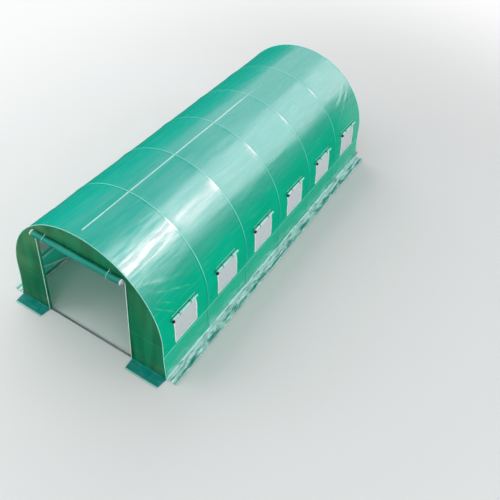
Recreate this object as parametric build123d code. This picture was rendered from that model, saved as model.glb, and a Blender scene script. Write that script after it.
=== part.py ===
"""A walk-in polytunnel greenhouse: hooped steel tubes under a reinforced plastic film.

Millimetres. X runs across the tunnel with +X to the right of someone facing the
open door, Y runs along it with the open door at the -Y end, and Z is up. The
origin is on the ground at the centre of the footprint.
"""

import os
from math import asin, cos, degrees, hypot, pi, radians, sin, sqrt

from build123d import *

# Driving dimensions of the tunnel
bay_count = 6
bay_length = 1000.0
tunnel_width = 2600.0
leg_height = 650.0

# Steel tubes
tube_diameter = 25.0
tube_sides = 8
socket_wall = 1.5
socket_length = 60.0
arch_section_angle = 60.0
tab_thickness = 2.4
tab_reach = 26.0
tab_end = 13.0
tab_nose = 5.0
press_length = 34.0
side_rail_height = 435.0
base_rail_height = 21.0

# Film, netting and their seats
film_thickness = 3.0
net_thickness = 1.2
seat_gap = 0.3

# Doorway at each end
door_width = 1520.0
wall_over_door = 375.0
post_offset = 28.0
lintel_offset = 30.0
zip_tape_width = 34.0
zip_tape_thickness = 2.0
door_roll_diameter = 90.0
door_tie_width = 16.0
door_tie_thickness = 2.0
door_tie_spacing = 1080.0

# Windows in the two sides, one to a bay
window_length = 466.0
window_bottom = 503.0
window_top = 945.0
window_border = 22.0
window_border_thickness = 1.5
window_roll_diameter = 36.0
window_roll_length = 530.0
window_roll_rise = 10.0

# Skirts that lie on the ground round the cover
skirt_width = 190.0
skirt_thickness = 3.0

# Lengthwise widths of the cover
side_width_top = 1060.0
roof_width_count = 6

# Values that follow from the sizes above
tube_radius = tube_diameter / 2
socket_radius = tube_radius + socket_wall
outer_radius = tunnel_width / 2
inner_radius = outer_radius - film_thickness
hoop_radius = inner_radius - seat_gap - socket_radius
hoop_inner_radius = hoop_radius - tube_radius
door_height = leg_height + outer_radius - wall_over_door
post_x = door_width / 2 + post_offset
half_length = bay_count * bay_length / 2
hoop_places = [i * bay_length - half_length for i in range(bay_count + 1)]
wall_back = half_length + socket_radius + seat_gap
wall_face = wall_back + film_thickness
side_top_angle = degrees(asin((side_width_top - leg_height) / outer_radius))
tab_width = pi * tube_radius
first_depth = seat_gap
second_depth = first_depth + tab_thickness + seat_gap
third_depth = second_depth + tab_thickness + seat_gap

parts_folder = "parts"


def save(name, shapes):
    """Write the solids of one sub-part to its own file."""
    solids = [solid for shape in shapes for solid in shape.solids()]
    export_step(Compound(children=solids), f"{parts_folder}/{name}.step")


def tube_section(radius):
    """A tube's outline: a polygon of a few sides, flat on the sides that meet other pieces."""
    return RegularPolygon(radius, tube_sides, major_radius=False, rotation=180 / tube_sides)


def swept_tube(line, radius, across=(0, 1, 0)):
    """A tube along a line. Across is a direction square to the line that one flat faces."""
    return sweep(Plane(line @ 0, x_dir=across, z_dir=line % 0) * tube_section(radius), path=line)


def bar(start, end, radius, across=(0, 1, 0)):
    """A straight tube from one point to another."""
    return swept_tube(Line(start, end), radius, across)


def mirrored_ends(shape):
    """The same shape at the other end of the tunnel."""
    return mirror(shape, Plane.XZ)


def mirrored_sides(shape):
    """The same shape on the other side of the tunnel."""
    return mirror(shape, Plane.YZ)


def arch_line(radius, start_angle, end_angle):
    """An arc of the hoop, with angles in degrees up from the right-hand springing."""
    plane = Plane((0, 0, leg_height), x_dir=(1, 0, 0), z_dir=(0, -1, 0))
    arc = CenterArc((0, 0, 0), radius, start_angle, end_angle - start_angle)
    return plane * arc


def hoop():
    """A bent tube: two legs, a half circle, and the wider socket at each joint of its sections."""
    arch = swept_tube(arch_line(hoop_radius, 0, 180), tube_radius)
    legs = [
        bar((side * hoop_radius, 0, 0), (side * hoop_radius, 0, leg_height), tube_radius)
        for side in (1, -1)
    ]
    sockets = [
        bar(
            (side * hoop_radius, 0, leg_height - socket_length),
            (side * hoop_radius, 0, leg_height),
            socket_radius,
        )
        for side in (1, -1)
    ]
    half_socket = degrees(socket_length / 2 / hoop_radius)
    section_count = round(180 / arch_section_angle)
    for joint in range(1, section_count):
        angle = 180 * joint / section_count
        line = arch_line(hoop_radius, angle - half_socket, angle + half_socket)
        sockets.append(swept_tube(line, socket_radius))
    return Part() + arch + legs + sockets


def pressed_section():
    """The outline of a pressed end. Its corners keep the tube's slant, so the sides between are flat."""
    return chamfer(Rectangle(tab_width, tab_thickness).vertices(), tab_thickness / tube_sides)


def pressed_rail(length, start_depth, end_depth, axis_height):
    """A tube with flat pressed ends, lying along X from bolt to bolt.

    Depths are those of the outer faces of the two flat ends below the plane z = 0,
    which is the inner face of the hoops. The round part has its own height.
    """
    round_start = tab_reach + press_length
    rail = bar((round_start, 0, axis_height), (length - round_start, 0, axis_height), tube_radius)
    outline = Polygon(
        (-tab_end, -tab_nose),
        (0, -tab_width / 2),
        (tab_reach, -tab_width / 2),
        (tab_reach, tab_width / 2),
        (0, tab_width / 2),
        (-tab_end, tab_nose),
        align=None,
    )
    tab = extrude(outline, tab_thickness)
    for at, inward, depth in ((0, 1, start_depth), (length, -1, end_depth)):
        low = -depth - tab_thickness
        flat = tab if inward > 0 else mirror(tab, Plane.YZ)
        flat_end = Plane(
            (at + inward * tab_reach, 0, low + tab_thickness / 2),
            x_dir=(0, 1, 0),
            z_dir=(inward, 0, 0),
        )
        round_end = Plane(
            (at + inward * round_start, 0, axis_height), x_dir=(0, 1, 0), z_dir=(inward, 0, 0)
        )
        sections = [flat_end * pressed_section(), round_end * tube_section(tube_radius)]
        rail += loft(sections, ruled=True)
        rail += Pos(at, 0, low) * flat
    return rail


def rail_row(place):
    """One pressed rail in each bay, each placed by a function of its start along Y."""
    axis_height = tube_radius - first_depth - tab_thickness
    rail = pressed_rail(bay_length, first_depth, second_depth, axis_height)
    return [place(start) * rail for start in hoop_places[:-1]]


def side_place(height, side):
    """Where a side rail starts: its own X runs along the tunnel and its Z faces outward."""

    def place(start):
        return Location(
            Plane(
                (side * hoop_inner_radius, start, height),
                x_dir=(0, 1, 0),
                z_dir=(side, 0, 0),
            )
        )

    return place


def ridge_place(start):
    """Where a ridge rail starts, under the top of the hoops."""
    return Location(
        Plane((0, start, leg_height + hoop_inner_radius), x_dir=(0, 1, 0), z_dir=(0, 0, 1))
    )


def corner_brace(start_depth):
    """The slanting tube from the end hoop at the side rail down to the foot of the next hoop."""
    drop = side_rail_height - base_rail_height
    length = hypot(bay_length, drop)
    rail = pressed_rail(length, start_depth, third_depth, -third_depth - tube_radius)
    plane = Plane(
        (hoop_inner_radius, -half_length, side_rail_height),
        x_dir=(0, bay_length, -drop),
        z_dir=(1, 0, 0),
    )
    return plane.location * rail


def side_profile(outer, inner, bottom, start_angle, end_angle):
    """The section of a strip of cover between two offsets, on the right-hand side."""
    start = radians(start_angle)
    end = radians(end_angle)
    middle = (start + end) / 2

    def on(radius, angle):
        return (radius * cos(angle), leg_height + radius * sin(angle))

    edges = [
        ThreePointArc(on(outer, start), on(outer, middle), on(outer, end)),
        Line(on(outer, end), on(inner, end)),
        ThreePointArc(on(inner, end), on(inner, middle), on(inner, start)),
    ]
    if bottom < leg_height:
        edges += [
            Line(on(inner, start), (inner, bottom)),
            Line((inner, bottom), (outer, bottom)),
            Line((outer, bottom), on(outer, start)),
        ]
    else:
        edges.append(Line(on(inner, start), on(outer, start)))
    return make_face(Curve() + edges)


def along_tunnel(face, length, middle=0):
    """An XZ section made as long as asked, centred on a place along the tunnel."""
    plane = Plane((0, middle + length / 2, 0), x_dir=(1, 0, 0), z_dir=(0, -1, 0))
    return extrude(plane * face, length)


def window_places():
    """The middle of each bay, where its window is."""
    return [start + bay_length / 2 for start in hoop_places[:-1]]


def window_block(grow):
    """Boxes through the right-hand side at the windows, larger than them by a margin."""
    height = window_top - window_bottom + 2 * grow
    middle = (window_top + window_bottom) / 2
    return [
        Pos(outer_radius, place, middle) * Box(tube_diameter * 8, window_length + 2 * grow, height)
        for place in window_places()
    ]


def cover_side():
    """The right-hand side of the cover, with its windows cut through."""
    section = side_profile(outer_radius, inner_radius, 0, 0, side_top_angle)
    side = along_tunnel(section, 2 * wall_face)
    return side - window_block(0)


def roof_widths():
    """The lengthwise widths of film over the roof, from the right side to the left."""
    step = (180 - 2 * side_top_angle) / roof_width_count
    return [
        along_tunnel(
            side_profile(
                outer_radius,
                inner_radius,
                leg_height,
                side_top_angle + i * step,
                side_top_angle + (i + 1) * step,
            ),
            2 * wall_face,
        )
        for i in range(roof_width_count)
    ]


def window_screens():
    """Netting in each window, carried by a border that is welded round it on the film."""
    net_outer = outer_radius + seat_gap + window_border_thickness
    net_inner = net_outer - window_border_thickness
    net = along_tunnel(
        side_profile(net_outer, outer_radius - net_thickness, 0, 0, side_top_angle),
        2 * wall_face,
    )
    border = along_tunnel(
        side_profile(net_outer, net_inner, 0, 0, side_top_angle), 2 * wall_face
    )
    screens = []
    for hole, edge in zip(window_block(-seat_gap), window_block(window_border)):
        screens.append((net & hole) + ((border & edge) - hole))
    return screens


def window_rolls():
    """Each window's flap, rolled up and tied above it."""
    angle = asin((window_top + window_roll_rise - leg_height) / outer_radius)
    radius = window_roll_diameter / 2
    reach = outer_radius + seat_gap + window_border_thickness + seat_gap + radius
    x = reach * cos(angle)
    z = leg_height + reach * sin(angle)
    return [
        bar(
            (x, place - window_roll_length / 2, z),
            (x, place + window_roll_length / 2, z),
            radius,
            across=(cos(angle), 0, sin(angle)),
        )
        for place in window_places()
    ]


def end_outline():
    """The shape of an end wall, inside the edge of the cover."""
    edge = inner_radius - seat_gap
    arch = ThreePointArc(
        (edge, leg_height), (0, leg_height + edge), (-edge, leg_height)
    )
    return make_face(
        Curve()
        + [
            arch,
            Line((-edge, leg_height), (-edge, 0)),
            Line((-edge, 0), (edge, 0)),
            Line((edge, 0), (edge, leg_height)),
        ]
    )


def end_panel(low, high, thickness, back):
    """A piece of the front end wall between two corners given as (x, z)."""
    width = high[0] - low[0]
    height = high[1] - low[1]
    window = Pos((low[0] + high[0]) / 2, (low[1] + high[1]) / 2) * Rectangle(width, height)
    plane = Plane((0, -back, 0), x_dir=(1, 0, 0), z_dir=(0, -1, 0))
    return extrude(plane * (end_outline() & window), thickness)


def post_height(x):
    """How high the middle line of the end hoop is at a distance from the centre."""
    return leg_height + sqrt(hoop_radius**2 - x**2)


def door_posts():
    """The two posts of the front doorway, notched on to the ground tube and the end hoop."""
    near_hoop = swept_tube(arch_line(hoop_radius, 0, 180), tube_radius + seat_gap)
    past_post = post_x + tube_diameter
    near_sill = bar(
        (-past_post, 0, tube_radius), (past_post, 0, tube_radius), tube_radius + seat_gap
    )
    posts = [
        bar((side * post_x, 0, tube_radius), (side * post_x, 0, post_height(post_x)), tube_radius)
        - near_hoop
        - near_sill
        for side in (1, -1)
    ]
    return [Pos(0, -half_length, 0) * post for post in posts]


def lintel():
    """The tube over the front doorway, notched on to the posts or, where it is near, the hoop."""
    z = door_height + lintel_offset
    half = min(post_x, sqrt(hoop_radius**2 - (z - leg_height) ** 2))
    near_hoop = swept_tube(arch_line(hoop_radius, 0, 180), tube_radius + seat_gap)
    tube = bar((-half, 0, z), (half, 0, z), tube_radius) - near_hoop
    for side in (1, -1):
        tube -= bar(
            (side * post_x, 0, z - tube_diameter),
            (side * post_x, 0, z + tube_diameter),
            tube_radius + seat_gap,
        )
    return Pos(0, -half_length, 0) * tube


def sill(tab_depth):
    """The ground tube across the front end, between the flat ends of the base rails."""
    half = hoop_inner_radius - tab_depth - tab_thickness - seat_gap
    return Pos(0, -half_length, 0) * bar((-half, 0, tube_radius), (half, 0, tube_radius), tube_radius)


def zip_tapes():
    """The two zip tapes at the edges of the front doorway, flat on the end wall."""
    y = -wall_face - seat_gap - zip_tape_thickness / 2
    height = door_height - skirt_thickness - seat_gap
    z = skirt_thickness + seat_gap + height / 2
    return [
        Pos(side * (door_width / 2 + zip_tape_width / 2), y, z)
        * Box(zip_tape_width, zip_tape_thickness, height)
        for side in (1, -1)
    ]


def door_roll_middle():
    """The place of the rolled door's middle line, as (y, z)."""
    clear = zip_tape_thickness + 2 * seat_gap
    radius = door_roll_diameter / 2
    return (-wall_face - clear - radius, door_height + radius)


def door_roll():
    """The front door rolled up over the doorway."""
    y, z = door_roll_middle()
    return Pos(0, y, z) * Rot(0, 90, 0) * Cylinder(door_roll_diameter / 2, door_width)


def door_ties():
    """The two straps that hold the rolled door to the end wall."""
    y, z = door_roll_middle()
    inner = door_roll_diameter / 2 + seat_gap
    outer = inner + door_tie_thickness
    ties = []
    for side in (1, -1):
        ring = Pos(side * door_tie_spacing / 2, y, z) * Rot(0, 90, 0) * (
            Cylinder(outer, door_tie_width) - Cylinder(inner, door_tie_width)
        )
        wall = Pos(side * door_tie_spacing / 2, -wall_face - seat_gap + outer, z) * Box(
            2 * door_tie_width, 2 * outer, 4 * outer
        )
        ties.append(ring - wall)
    return ties


def side_skirt():
    """The ground skirt along the right-hand side."""
    return Pos(
        outer_radius + seat_gap + skirt_width / 2, 0, skirt_thickness / 2
    ) * Box(skirt_width, 2 * wall_face, skirt_thickness)


def end_skirts():
    """The two ground skirts beside the front doorway."""
    width = outer_radius - door_width / 2
    return [
        Pos(
            side * (door_width / 2 + width / 2),
            -wall_face - seat_gap - skirt_width / 2,
            skirt_thickness / 2,
        )
        * Box(width, skirt_width, skirt_thickness)
        for side in (1, -1)
    ]


def build():
    os.makedirs(parts_folder, exist_ok=True)

    one_hoop = hoop()
    names = ["front_hoop"]
    names += [f"hoop_{i}" for i in range(2, bay_count + 1)]
    names.append("back_hoop")
    for name, place in zip(names, hoop_places):
        save(name, [Pos(0, place, 0) * one_hoop])

    save("ridge_rail", rail_row(ridge_place))
    save("right_side_rail", rail_row(side_place(side_rail_height, 1)))
    save("left_side_rail", rail_row(side_place(side_rail_height, -1)))
    save(
        "base_rails",
        rail_row(side_place(base_rail_height, 1)) + rail_row(side_place(base_rail_height, -1)),
    )
    right_braces = [corner_brace(second_depth), mirrored_ends(corner_brace(third_depth))]
    save("corner_braces", right_braces + [mirrored_sides(one) for one in right_braces])

    posts = door_posts()
    save("front_door_posts", posts)
    save("back_door_posts", [mirrored_ends(post) for post in posts])
    save("front_lintel", [lintel()])
    save("back_lintel", [mirrored_ends(lintel())])
    save("front_sill", [sill(first_depth)])
    save("back_sill", [mirrored_ends(sill(second_depth))])

    side = cover_side()
    save("cover_right_side", [side])
    save("cover_left_side", [mirrored_sides(side)])
    for number, width in enumerate(roof_widths(), start=1):
        save(f"cover_roof_{number}", [width])

    screens = window_screens()
    save("right_window_screens", screens)
    save("left_window_screens", [mirrored_sides(screen) for screen in screens])
    rolls = window_rolls()
    save("right_window_rolls", rolls)
    save("left_window_rolls", [mirrored_sides(roll) for roll in rolls])

    half_door = door_width / 2
    right_wall = end_panel((half_door, 0), (outer_radius, outer_radius + leg_height),
                           film_thickness, wall_back)
    top_wall = end_panel((-half_door, door_height), (half_door, outer_radius + leg_height),
                         film_thickness, wall_back)
    door = end_panel((-half_door, 0), (half_door, door_height), film_thickness, wall_back)
    save("front_wall_right", [right_wall])
    save("front_wall_left", [mirrored_sides(right_wall)])
    save("front_wall_top", [top_wall])
    save("back_wall_right", [mirrored_ends(right_wall)])
    save("back_wall_left", [mirrored_ends(mirrored_sides(right_wall))])
    save("back_wall_top", [mirrored_ends(top_wall)])
    save("back_door", [mirrored_ends(door)])

    tapes = zip_tapes()
    save("front_zip_tapes", tapes)
    save("back_zip_tapes", [mirrored_ends(tape) for tape in tapes])
    save("front_door_roll", [door_roll()])
    save("front_door_ties", door_ties())

    skirt = side_skirt()
    save("right_skirt", [skirt])
    save("left_skirt", [mirrored_sides(skirt)])
    skirts = end_skirts()
    save("front_skirts", skirts)
    save("back_skirts", [mirrored_ends(one) for one in skirts])


build()
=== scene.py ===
# %% [markdown]
# A walk-in polytunnel greenhouse. The tubes, the film and the windows are built here
# around a fixed frame of plain solids, in metres: X runs across the tunnel, Y along it
# with the open door at the low end, and Z is up from the ground.

# %% Load the frame
import math
from types import SimpleNamespace

import bmesh
import bpy
from mathutils import Matrix, Vector, noise


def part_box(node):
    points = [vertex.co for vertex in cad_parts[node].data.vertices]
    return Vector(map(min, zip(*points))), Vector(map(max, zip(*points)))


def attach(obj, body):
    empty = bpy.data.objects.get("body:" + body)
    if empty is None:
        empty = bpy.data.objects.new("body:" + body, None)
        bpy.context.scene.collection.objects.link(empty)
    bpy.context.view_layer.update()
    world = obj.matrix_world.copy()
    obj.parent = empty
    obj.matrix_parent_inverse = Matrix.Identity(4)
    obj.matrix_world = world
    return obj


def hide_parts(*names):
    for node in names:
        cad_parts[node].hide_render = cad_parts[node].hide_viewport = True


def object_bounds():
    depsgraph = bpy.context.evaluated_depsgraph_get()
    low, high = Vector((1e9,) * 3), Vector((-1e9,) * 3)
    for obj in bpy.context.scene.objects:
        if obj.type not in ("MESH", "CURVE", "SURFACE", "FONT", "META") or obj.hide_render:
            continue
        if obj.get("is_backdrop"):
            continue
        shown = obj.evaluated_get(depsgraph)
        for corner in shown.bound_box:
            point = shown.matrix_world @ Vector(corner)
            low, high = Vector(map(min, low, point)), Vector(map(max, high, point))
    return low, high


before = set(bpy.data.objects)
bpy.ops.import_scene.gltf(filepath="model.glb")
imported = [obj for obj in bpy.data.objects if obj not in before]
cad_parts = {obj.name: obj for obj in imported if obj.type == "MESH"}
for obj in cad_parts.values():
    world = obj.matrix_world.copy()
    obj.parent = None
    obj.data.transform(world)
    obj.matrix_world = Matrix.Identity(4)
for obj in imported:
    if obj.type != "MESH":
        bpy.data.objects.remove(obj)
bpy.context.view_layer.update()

# %% [markdown]
# Every size that the pieces share is read from the frame or is a real size of such a
# tunnel, so the film, the tubes and the seams always agree with each other.

# %% Sizes from the frame
hoop_names = ["front_hoop", "hoop_2", "hoop_3", "hoop_4", "hoop_5", "hoop_6", "back_hoop"]
both_sides = ((1, "right"), (-1, "left"))
both_ends = ((-1, "front"), (1, "back"))


def middle(node, axis):
    low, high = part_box(node)
    return (low[axis] + high[axis]) / 2


hoop_y = [middle(name, 1) for name in hoop_names]
bay = (hoop_y[-1] - hoop_y[0]) / (len(hoop_y) - 1)
half_length = hoop_y[-1]
film_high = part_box("cover_right_side")[1]
half_width = film_high[0]
film_end = film_high[1]
roof_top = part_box("cover_roof_3")[1][2]
leg = roof_top - half_width
sill_low, sill_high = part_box("front_sill")
tube_r = (sill_high[2] - sill_low[2]) / 2
hoop_low, hoop_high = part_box("hoop_2")
socket_r = (hoop_high[1] - hoop_low[1]) / 2
hoop_r = hoop_high[0] - socket_r
hoop_inner = hoop_r - tube_r
rail_height = middle("right_side_rail", 2)
base_height = middle("base_rails", 2)
post_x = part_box("front_door_posts")[1][0] - tube_r
lintel_z = middle("front_lintel", 2)
door_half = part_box("front_wall_top")[1][0]
door_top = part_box("front_wall_top")[0][2]
skirt_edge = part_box("right_skirt")[1][0]
end_skirt_edge = -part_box("front_skirts")[0][1]
wall_face = -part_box("front_wall_top")[0][1]
arch_length = leg + math.pi * half_width / 2
print("bay", round(bay, 3), "width", round(2 * half_width, 3), "height", round(roof_top, 3))

# %% [markdown]
# The camera stands high in front of the right-hand corner, at the place and with the
# lens that the picture was taken with. Its turn is written as its right, down and
# forward directions. The picture is cut from a larger one, so the lens is shifted.

# %% Camera
camera_place = Vector((4.5810, -6.8745, 7.6376))
camera_right = Vector((0.848160, 0.527158, 0.052236))
camera_down = Vector((0.369509, -0.518078, -0.771400))
camera_forward = Vector((-0.379587, 0.673573, -0.634203))
picture_side = 500
focal_pixels = 647.74
picture_shift = -0.14238

camera_data = bpy.data.cameras.new("camera")
camera_data.sensor_width = 36.0
camera_data.lens = focal_pixels / picture_side * camera_data.sensor_width
camera_data.shift_y = picture_shift
camera = bpy.data.objects.new("camera", camera_data)
turn = Matrix((camera_right, -camera_down, -camera_forward)).transposed()
camera.matrix_world = Matrix.Translation(camera_place) @ turn.to_4x4()
bpy.context.scene.collection.objects.link(camera)
bpy.context.scene.camera = camera
print("lens", round(camera_data.lens, 2))

# %% [markdown]
# Every finish here is worked out by nodes from a place on the piece. A node graph could
# be wired by hand, socket by socket. These two helpers make it shorter: one adds a node
# and the other joins or sets its sockets.

# %% Helpers that add nodes
def feed(tree, socket, value):
    """Join a socket to a signal or a node's first output, or set it to a plain value."""
    if isinstance(value, Signal):
        value = value.socket
    if isinstance(value, bpy.types.Node):
        value = value.outputs[0]
    if isinstance(value, bpy.types.NodeSocket):
        tree.links.new(value, socket)
    elif socket.type == "RGBA":
        socket.default_value = (*value, 1.0)
    else:
        socket.default_value = value


def node_of(tree, kind, inputs=None, **settings):
    """A new node with its settings, and with its inputs fed by name or by number."""
    node = tree.nodes.new(kind)
    for name, value in settings.items():
        setattr(node, name, value)
    for name, value in (inputs or {}).items():
        feed(tree, node.inputs[name], value)
    return node


print("nodes are added by", node_of.__name__)

# %% [markdown]
# A signal is a number, a place or a colour that one node gives out. Python lets a class
# say what + and * mean, so the sums of a finish can be written as sums, and each one
# adds the node that does it.

# %% Signals
class Signal:
    """One output of a node."""

    def __init__(self, tree, socket):
        self.tree = tree
        self.socket = socket

    def maths(self, operation, *others):
        inputs = dict(enumerate((self, *others)))
        node = node_of(self.tree, "ShaderNodeMath", inputs, operation=operation)
        return Signal(self.tree, node.outputs[0])

    def __add__(self, other):
        return self.maths("ADD", other)

    def __sub__(self, other):
        return self.maths("SUBTRACT", other)

    def __rsub__(self, other):
        """A plain number less this signal."""
        return self.maths("MULTIPLY_ADD", -1.0, other)

    def __mul__(self, other):
        return self.maths("MULTIPLY", other)

    def ramp(self, low, high, out_low=0.0, out_high=1.0):
        """A smooth step from one level to another."""
        inputs = {"Value": self, "From Min": low, "From Max": high, "To Min": out_low,
                  "To Max": out_high}
        node = node_of(self.tree, "ShaderNodeMapRange", inputs, interpolation_type="SMOOTHSTEP")
        return Signal(self.tree, node.outputs["Result"])

    def fall(self, low, high):
        """A smooth step down, from 1 at the first level to 0 at the second."""
        return self.ramp(low, high, 1.0, 0.0)

    def band(self, middle, half, soft):
        """1 within half a width of a place and 0 beyond it, with a soft edge."""
        return (self - middle).maths("ABSOLUTE").fall(half, half + soft)

    def mix(self, first, second):
        """From the first colour at 0 to the second at 1."""
        node = node_of(self.tree, "ShaderNodeMix", data_type="RGBA", clamp_factor=True)
        for name, value in (("Factor", self), (6, first), (7, second)):
            feed(self.tree, node.inputs[name], value)
        return Signal(self.tree, node.outputs[2])

    def cloud(self, scale, detail=3.0, roughness=0.5, stretch=(1, 1, 1)):
        """Soft noise at this place, stretched along the piece's own directions."""
        mapping = node_of(self.tree, "ShaderNodeMapping", {"Vector": self, "Scale": stretch})
        inputs = {"Vector": mapping, "Scale": scale, "Detail": detail, "Roughness": roughness}
        return Signal(self.tree, node_of(self.tree, "ShaderNodeTexNoise", inputs).outputs["Fac"])

    def split(self):
        node = node_of(self.tree, "ShaderNodeSeparateXYZ", {0: self})
        return [Signal(self.tree, output) for output in node.outputs]


print("signals can", [name for name in vars(Signal) if name[0] != "_"])

# %% [markdown]
# A finish starts from a base colour, and thin tints are laid over it, as dirt and wear
# are laid on the real film. These helpers do that, and start and join the shaders.

# %% Helpers for finishes
def tinted(colour, *layers):
    """Lay tints over a colour, from the lowest up. A layer is its mask and its tint."""
    for mask, tint in layers:
        colour = mask.mix(colour, tint)
    return colour


def texture_place(tree, kind):
    """The place on a piece: Object for its place in the part, UV for its flat sheet."""
    return Signal(tree, node_of(tree, "ShaderNodeTexCoord").outputs[kind])


def plain_material(name):
    material = bpy.data.materials.new(name)
    material.use_nodes = True
    material.node_tree.nodes.clear()
    return material, material.node_tree


def mix_shaders(tree, share, first, second):
    return node_of(tree, "ShaderNodeMixShader", {0: share, 1: first, 2: second})


print("finishes start from", plain_material.__name__)

# %% [markdown]
# A plain pale floor keeps the shadow of the tunnel, and looks darker in the gloss of the
# film, as dark ground does. It fades into the white background far away, for the camera
# alone, so that its edge doesn't show.

# %% Floor
scene = bpy.context.scene
scene.view_settings.view_transform = "Standard"
floor_colour = (0.80, 0.80, 0.785)
floor_in_gloss = (0.03, 0.035, 0.03)
floor_reach = 60.0
floor_drop = 0.0015
fade_from = 5.5
fade_to = 13.0

floor_material, tree = plain_material("pale floor")
rays = node_of(tree, "ShaderNodeLightPath").outputs
floor_shader = node_of(tree, "ShaderNodeBsdfPrincipled", {
    "Base Color": Signal(tree, rays["Is Glossy Ray"]).mix(floor_colour, floor_in_gloss),
    "Roughness": 0.9, "Specular IOR Level": 0.1})
distance = node_of(tree, "ShaderNodeVectorMath", {0: texture_place(tree, "Object")},
                   operation="LENGTH")
far_floor = Signal(tree, distance.outputs["Value"]).ramp(fade_from, fade_to)
faded = mix_shaders(tree, far_floor * Signal(tree, rays["Is Camera Ray"]), floor_shader,
                    node_of(tree, "ShaderNodeEmission"))
node_of(tree, "ShaderNodeOutputMaterial", {"Surface": faded})

bm = bmesh.new()
bmesh.ops.create_grid(bm, x_segments=1, y_segments=1, size=floor_reach)
bmesh.ops.translate(bm, verts=bm.verts, vec=(0, 0, -floor_drop))
floor_mesh = bpy.data.meshes.new("floor")
bm.to_mesh(floor_mesh)
bm.free()
floor = bpy.data.objects.new("floor", floor_mesh)
floor.data.materials.append(floor_material)
scene.collection.objects.link(floor)
floor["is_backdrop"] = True
print("floor", 2 * floor_reach, "m wide")

# %% [markdown]
# Rays from the camera and through film see a bright white background. All other rays
# see a soft sky. It is dimmer in gloss, because real film mirrors dark things low down.

# %% Background
sky_colour = (0.92, 0.96, 1.0)
sky_strength = 0.5
sky_in_gloss = 0.12
backdrop_colour = (1.0, 1.0, 1.0)

world = bpy.data.worlds.new("studio")
scene.world = world
world.use_nodes = True
tree = world.node_tree
tree.nodes.clear()
rays = node_of(tree, "ShaderNodeLightPath").outputs
seen = Signal(tree, rays["Is Camera Ray"]).maths("MAXIMUM", rays["Is Transmission Ray"])
sky_level = Signal(tree, rays["Is Glossy Ray"]).ramp(0.0, 1.0, sky_strength, sky_in_gloss)
sky = node_of(tree, "ShaderNodeBackground", {"Color": sky_colour, "Strength": sky_level})
backdrop = node_of(tree, "ShaderNodeBackground", {"Color": backdrop_colour, "Strength": 1.0})
node_of(tree, "ShaderNodeOutputWorld", {"Surface": mix_shaders(tree, seen, sky, backdrop)})
print("sky", sky_strength, "and", sky_in_gloss, "in gloss")

# %% [markdown]
# Wide soft panels light both sides evenly. The film's glare could come from one hot
# lamp, but that would also bleach its colours, so panels that show only in gloss make
# the band of glare along the shoulder, and a small bright one makes the hottest patch
# near the door.

# %% Lamps
def soft_lamp(name, outward, place, wide, long, watts, colour=(1, 1, 1)):
    """A large panel of light. It faces against its outward direction, its length along Y."""
    data = bpy.data.lights.new(name, "AREA")
    data.shape = "RECTANGLE"
    data.size = wide
    data.size_y = long
    data.energy = watts
    data.color = colour
    lamp = bpy.data.objects.new(name, data)
    outward = Vector(outward).normalized()
    across = Vector((0, 1, 0)).cross(outward).normalized()
    turn = Matrix((across, outward.cross(across), outward)).transposed().to_4x4()
    lamp.matrix_world = Matrix.Translation(place) @ turn
    lamp.visible_camera = False
    scene.collection.objects.link(lamp)
    return lamp


panel_height = 0.9


def panel_beside(name, angle, reach, along, wide, long, watts, glare=False, colour=(1, 1, 1)):
    """A panel along the tunnel. Its angle is up from the right, seen from the front."""
    turned = math.radians(angle)
    outward = Vector((math.cos(turned), 0.0, math.sin(turned)))
    place = outward * reach + Vector((0.0, along, panel_height))
    lamp = soft_lamp(name, outward, place, wide, long, watts, colour)
    lamp.visible_diffuse = not glare
    lamp.visible_transmission = not glare
    lamp.visible_glossy = glare


glare_tint = (1.0, 0.80, 0.93)
panel_beside("right soft panel", angle=8.0, reach=12.0, along=0.0, wide=9.0, long=26.0,
             watts=1000)
panel_beside("left soft panel", angle=138.0, reach=12.0, along=0.0, wide=12.0, long=26.0,
             watts=1520)
panel_beside("right glare panel", angle=55.0, reach=10.0, along=8.0, wide=11.6, long=28.0,
             watts=3820, glare=True, colour=glare_tint)
panel_beside("left glare panel", angle=115.0, reach=12.0, along=27.0, wide=14.0, long=36.0,
             watts=2300, glare=True, colour=glare_tint)

bright_tint = (1.0, 0.54, 0.63)
bright_way = Vector((0.475, 0.527, 0.705))
bright_patch = Vector((0.75, -2.5, 1.71))
bright = soft_lamp("bright panel", bright_way, bright_patch + bright_way * 12.0, wide=2.8,
                   long=2.8, watts=530, colour=bright_tint)
bright.visible_diffuse = False
bright.visible_transmission = False
soft_lamp("front panel", (0.3, -1.0, 0.45), Vector((4.0, -14.0, 6.3)), wide=8.0, long=6.0,
          watts=260)

# %% [markdown]
# A finished piece is a mesh object at the origin that rides on the one body of the
# part. This helper turns a bmesh into such a piece, hides the frame parts that it
# replaces and prints its number of faces, so each later cell only has to shape a bmesh.

# %% Helper that finishes a piece
def finish_piece(name, bm, material, replaces=(), smooth=True):
    bmesh.ops.recalc_face_normals(bm, faces=bm.faces)
    mesh = bpy.data.meshes.new(name)
    bm.to_mesh(mesh)
    bm.free()
    if smooth:
        mesh.shade_smooth()
    piece = bpy.data.objects.new(name, mesh)
    piece.data.materials.append(material)
    scene.collection.objects.link(piece)
    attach(piece, "root")
    if replaces:
        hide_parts(*replaces)
    print(name, len(mesh.polygons), "faces")
    return piece


def join_to(bm, other):
    """Copy one bmesh into another and free it."""
    mesh = bpy.data.meshes.new("part")
    other.to_mesh(mesh)
    other.free()
    bm.from_mesh(mesh)
    bpy.data.meshes.remove(mesh)


def add_thickness(piece, thickness):
    solid = piece.modifiers.new("thickness", "SOLIDIFY")
    solid.thickness = thickness
    solid.offset = 0.0


print("pieces ride on the body root")

# %% [markdown]
# Several finishes share the same effects. Each effect could be wired again in every
# material, but a node group with named inputs is made once and used in all of them. A
# group only puts out masks and heights, and each material decides what to do with them.

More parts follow.
